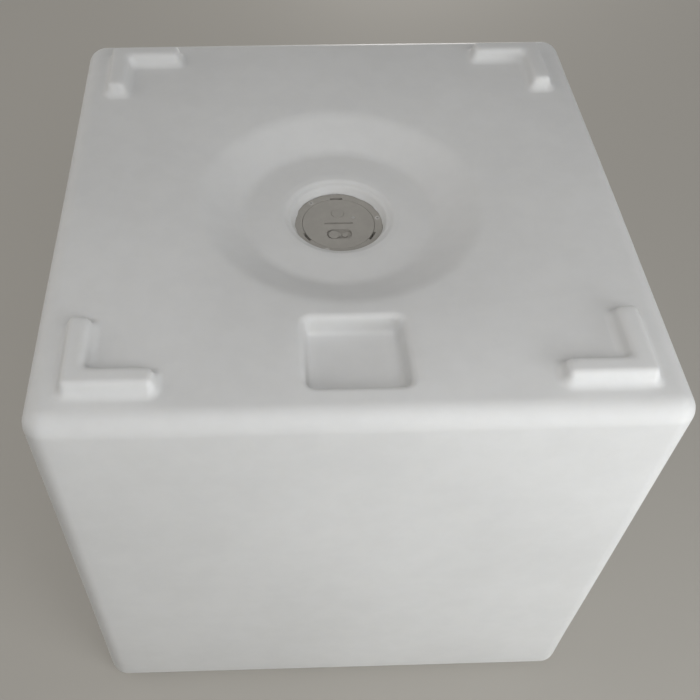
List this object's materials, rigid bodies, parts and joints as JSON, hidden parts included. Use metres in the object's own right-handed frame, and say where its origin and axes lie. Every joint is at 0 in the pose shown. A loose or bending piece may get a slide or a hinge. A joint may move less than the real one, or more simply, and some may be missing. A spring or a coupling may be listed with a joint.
{
  "type": "illuminated cube table",
  "caption": "Hollow milky cube table, stored upside down, with a lamp unit turned into the neck of its underside, moulded feet and a finger pocket",
  "frame": {"origin": "centre of the table top's outer face, on which the table stands upside down", "axes": "+Z from the table top towards the underside and its feet, +Y away from the side with the finger pocket, +X to the right of a viewer who faces that side"},
  "size_m": [0.598, 0.598, 0.6],
  "materials": {
    "milky_polyethylene": "smooth rotationally moulded skin, faintly mottled, lets light through",
    "grey_plastic": "fine matte texture",
    "stainless_steel": "bright screw",
    "black_rubber": "smooth seal rubber",
    "grey_rubber": "soft matte rubber",
    "black_plastic": "plain moulded plastic",
    "nickel": "plated",
    "clear_plastic": "clear light pipe",
    "green_board": "coated glass fibre board",
    "white_plastic": "fine matte texture",
    "cell_wrap": "shrink sleeve over a metal can",
    "lead_sleeve": "wire sleeve",
    "aluminium": "turned",
    "white_board": "coated metal core board",
    "led_phosphor": "light emitting diode",
    "milky_dome": "milky diffuser"
  },
  "bodies": {
    "table": {"shell": "milky_polyethylene", "neck_ring": "grey_plastic", "ring_screws": "stainless_steel"},
    "lamp": {"lamp_cap": "grey_plastic", "seal_ring": "black_rubber", "switch_body": "black_plastic", "charging_socket": "black_plastic", "socket_nut": "nickel", "cap_anchor": "grey_rubber", "charge_light": "clear_plastic", "control_board": "green_board", "board_parts": "black_plastic", "lamp_housing": "white_plastic", "housing_screws": "stainless_steel", "battery_cells": "cell_wrap", "cell_spacer_lower": "black_plastic", "cell_spacer_upper": "black_plastic", "contact_strips": "nickel", "battery_leads": "lead_sleeve", "led_leads": "lead_sleeve", "heat_sink": "aluminium", "led_board": "white_board", "led_chips": "led_phosphor", "dome_seal": "black_rubber", "diffuser_dome": "milky_dome", "dome_screws": "stainless_steel"},
    "button": {"power_button": "grey_rubber", "switch_plunger": "black_plastic"},
    "socket_cover": {"socket_cap": "grey_rubber"}
  },
  "joints": [
    {"name": "lamp_turn", "type": "hinge", "parent": "table", "child": "lamp", "pos_m": [0, 0, 0.54], "axis": [0, 0, 1], "range_deg": [0, 40]},
    {"name": "button_press", "type": "slide", "parent": "lamp", "child": "button", "axis": [0, 0, -1], "range_m": [0, 0.0015], "stiffness_N_per_m": 400},
    {"name": "socket_cover_fold", "type": "hinge", "parent": "lamp", "child": "socket_cover", "pos_m": [0.0021, -0.017, 0.5389], "axis": [0, 1, 0], "range_deg": [0, 90]}
  ]
}
